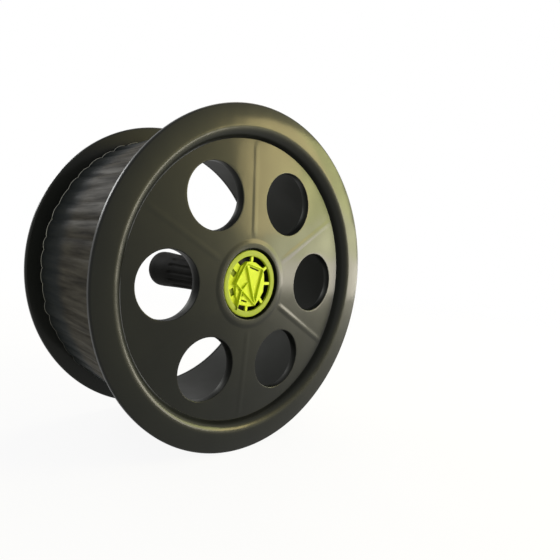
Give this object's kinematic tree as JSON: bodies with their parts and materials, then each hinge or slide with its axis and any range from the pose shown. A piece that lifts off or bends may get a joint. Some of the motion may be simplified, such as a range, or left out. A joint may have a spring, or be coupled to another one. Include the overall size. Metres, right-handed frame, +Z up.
{
  "type": "wire spool",
  "caption": "Hollow wire reel with two rounded flanges, a holed front web, a fluted drum and a fixed hand grip inside, on which it spins on ball bearings.",
  "frame": {"origin": "on the reel's axis, half way between the lips of the two flanges", "axes": "+Y along the axis from the holed front towards the open rear, +Z up with the reel standing on its rims, +X to the right seen from the front"},
  "size_m": [0.2282, 0.115, 0.2282],
  "materials": {
    "black_moulding": "satin moulded plastic",
    "liner_film": "semi-gloss pleated plastic film",
    "lime_plastic": "printed plastic, lime green",
    "hub_nylon": "black nylon",
    "zinc_steel": "zinc plated",
    "bearing_steel": "ground and polished",
    "grip_rubber": "matt moulded rubber"
  },
  "bodies": {
    "drum": {"front_flange": "black_moulding", "rear_flange": "black_moulding", "drum_barrel": "black_moulding", "fluted_liner": "liner_film", "hub_cap": "lime_plastic", "bearing_carrier": "hub_nylon", "retaining_clip": "zinc_steel", "front_bearing_outer_ring": "bearing_steel", "rear_bearing_outer_ring": "bearing_steel"},
    "handle": {"spindle_bolt": "zinc_steel", "bearing_spacer": "zinc_steel", "lock_nut": "zinc_steel", "head_washer": "zinc_steel", "handle_washer": "zinc_steel", "nut_washer": "zinc_steel", "handle_core": "hub_nylon", "handle_grip": "grip_rubber", "handle_end_cap": "hub_nylon", "front_bearing_inner_ring": "bearing_steel", "rear_bearing_inner_ring": "bearing_steel"},
    "front_ball_set": {"front_bearing_cage": "bearing_steel", "front_bearing_ball_1": "bearing_steel", "front_bearing_ball_2": "bearing_steel", "front_bearing_ball_3": "bearing_steel", "front_bearing_ball_4": "bearing_steel", "front_bearing_ball_5": "bearing_steel", "front_bearing_ball_6": "bearing_steel", "front_bearing_ball_7": "bearing_steel"},
    "rear_ball_set": {"rear_bearing_cage": "bearing_steel", "rear_bearing_ball_1": "bearing_steel", "rear_bearing_ball_2": "bearing_steel", "rear_bearing_ball_3": "bearing_steel", "rear_bearing_ball_4": "bearing_steel", "rear_bearing_ball_5": "bearing_steel", "rear_bearing_ball_6": "bearing_steel", "rear_bearing_ball_7": "bearing_steel"}
  },
  "joints": [
    {"name": "handle_spin", "type": "hinge", "parent": "drum", "child": "handle", "pos_m": [0, 0, 0], "axis": [0, 1, 0], "continuous": true},
    {"name": "front_balls_spin", "type": "hinge", "parent": "drum", "child": "front_ball_set", "pos_m": [0, 0, 0], "axis": [0, 1, 0], "continuous": true},
    {"name": "rear_balls_spin", "type": "hinge", "parent": "drum", "child": "rear_ball_set", "pos_m": [0, 0, 0], "axis": [0, 1, 0], "continuous": true}
  ],
  "couplings": [
    {"joint": "front_balls_spin", "follows": "handle_spin", "ratio": 0.36767},
    {"joint": "rear_balls_spin", "follows": "handle_spin", "ratio": 0.36767}
  ]
}
